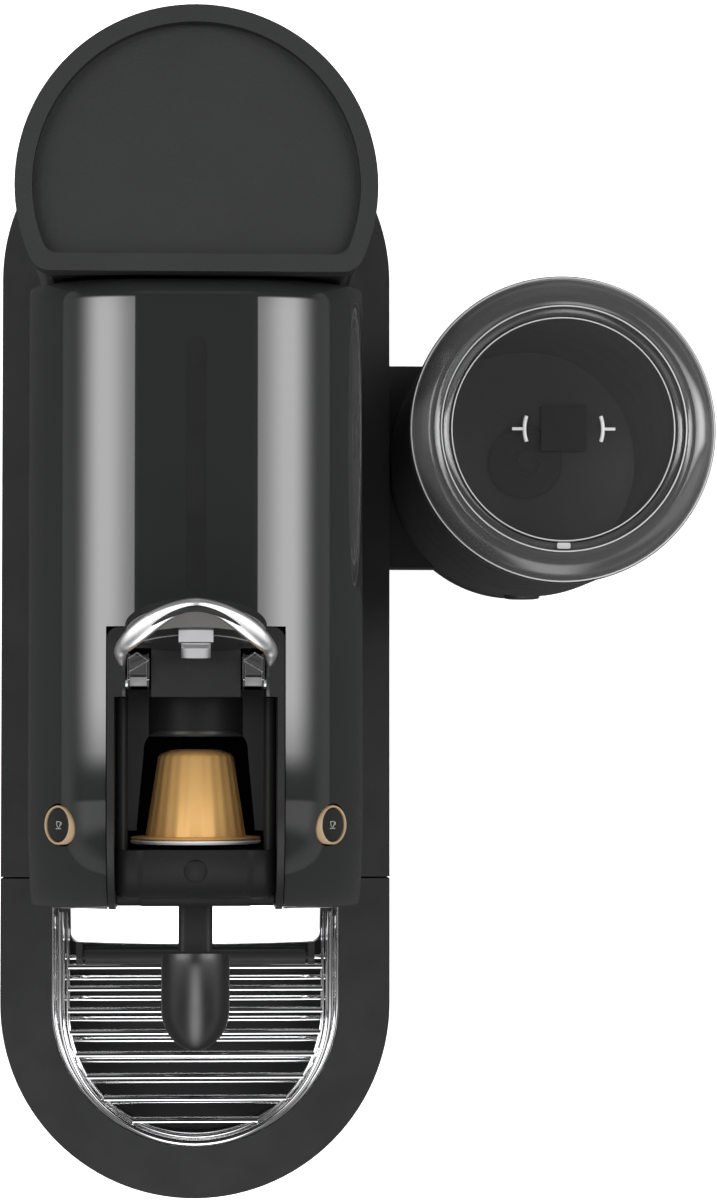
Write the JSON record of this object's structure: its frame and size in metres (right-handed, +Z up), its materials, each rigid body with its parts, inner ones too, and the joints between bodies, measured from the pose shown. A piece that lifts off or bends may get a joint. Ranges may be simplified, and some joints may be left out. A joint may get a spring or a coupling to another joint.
{
  "type": "pod coffee machine",
  "caption": "Slim pod coffee machine with a round-ended base, rear water tank, lever head, fold-up cup support, sliding drip drawer and a lift-off milk frother at its side.",
  "frame": {"origin": "middle of the footprint's box, on the surface that the feet stand on", "axes": "+Z up; -Y is the front, where the coffee comes out; +X is the side with the milk frother"},
  "size_m": [0.221, 0.3723, 0.2936],
  "materials": {
    "gloss_black": "high gloss",
    "satin_black": "satin, fine grain",
    "matte_black": "matte, fine grain",
    "chrome": "polished",
    "steel": "brushed",
    "light_ring": "translucent ring lit from behind",
    "smoked_clear": "clear, smoked",
    "clear": "clear",
    "rubber": "matte",
    "silicone": "matte translucent",
    "board": "solder resist",
    "gold_foil": "anodised gold, drawn",
    "silver_foil": "bright foil"
  },
  "bodies": {
    "machine": {"rear_base": "satin_black", "bottom_plate": "satin_black", "rear_foot_left": "rubber", "rear_foot_right": "rubber", "middle_foot_left": "rubber", "middle_foot_right": "rubber", "frother_foot": "rubber", "shell": "gloss_black", "head_cover": "matte_black", "brew_frame": "steel", "extraction_plate": "steel", "outlet_neck": "satin_black", "outlet_hood": "satin_black", "button_ring_left": "light_ring", "button_ring_right": "light_ring", "pod_cup": "gold_foil", "pod_foil": "silver_foil", "chassis": "satin_black", "pump": "steel", "heater": "steel", "control_board": "board", "hose_suction": "silicone", "hose_pressure": "silicone", "hose_hot": "silicone", "tank_seat": "satin_black", "tank_seat_seal": "rubber", "cord_gland": "rubber", "frother_arm": "satin_black", "frother_connector": "satin_black"},
    "drip_drawer": {"drip_tray": "satin_black", "drip_trim": "chrome", "lower_grid": "chrome", "capsule_bin": "satin_black", "bin_cover": "chrome", "cup_hinge_pin": "steel", "drawer_foot_left": "rubber", "drawer_foot_right": "rubber"},
    "cup_support": {"cup_frame": "chrome", "cup_grid": "chrome"},
    "water_tank": {"tank_body": "smoked_clear", "tank_valve": "satin_black"},
    "water_tank_lid": {"tank_lid": "satin_black"},
    "lever": {"lever_handle": "chrome", "lever_plate": "satin_black", "lever_latch": "chrome", "lever_arm_left": "chrome", "lever_arm_right": "chrome", "lever_pin_left": "steel", "lever_pin_right": "steel"},
    "pod_cage": {"capsule_cage": "steel"},
    "left_button": {"button_left": "satin_black"},
    "right_button": {"button_right": "satin_black"},
    "frother_jug": {"jug_body": "matte_black", "jug_pot": "steel", "frother_motor": "steel"},
    "frother_button": {"jug_button": "satin_black"},
    "frother_lid": {"jug_lid": "clear", "jug_lid_seal": "rubber"},
    "frother_whisk": {"whisk": "satin_black"}
  },
  "joints": [
    {"name": "drip_drawer_slide", "type": "slide", "parent": "machine", "child": "drip_drawer", "axis": [0, -1, 0], "range_m": [0, 0.12]},
    {"name": "cup_support_fold", "type": "hinge", "parent": "drip_drawer", "child": "cup_support", "pos_m": [-0.0455, -0.1014, 0.106], "axis": [-1, 0, 0], "range_deg": [0, 88]},
    {"name": "tank_lift", "type": "slide", "parent": "machine", "child": "water_tank", "axis": [0, 0, 1], "range_m": [0, 0.2]},
    {"name": "tank_lid_lift", "type": "slide", "parent": "water_tank", "child": "water_tank_lid", "axis": [0, 0, 1], "range_m": [0, 0.05]},
    {"name": "lever_pivot", "type": "hinge", "parent": "machine", "child": "lever", "pos_m": [-0.0455, -0.017, 0.24], "axis": [1, 0, 0], "range_deg": [0, 88]},
    {"name": "pod_cage_slide", "type": "slide", "parent": "machine", "child": "pod_cage", "axis": [0, -1, 0], "range_m": [0, 0.0285]},
    {"name": "left_button_press", "type": "slide", "parent": "machine", "child": "left_button", "axis": [0.7331, 0, -0.6801], "range_m": [0, 0.0012], "stiffness_N_per_m": 250},
    {"name": "right_button_press", "type": "slide", "parent": "machine", "child": "right_button", "axis": [-0.7331, 0, -0.6801], "range_m": [0, 0.0012], "stiffness_N_per_m": 250},
    {"name": "jug_lift", "type": "slide", "parent": "machine", "child": "frother_jug", "axis": [0, 0, 1], "range_m": [0, 0.15]},
    {"name": "jug_lid_lift", "type": "slide", "parent": "frother_jug", "child": "frother_lid", "axis": [0, 0, 1], "range_m": [0, 0.05]},
    {"name": "frother_button_press", "type": "slide", "parent": "frother_jug", "child": "frother_button", "axis": [0, 1, 0], "range_m": [0, 0.001], "stiffness_N_per_m": 250},
    {"name": "whisk_spin", "type": "hinge", "parent": "frother_jug", "child": "frother_whisk", "pos_m": [0.0643, 0.0595, 0.0465], "axis": [0, 0, 1], "continuous": true}
  ],
  "couplings": [
    {"joint": "pod_cage_slide", "follows": "lever_pivot", "m_per_rad": 0.01817}
  ]
}
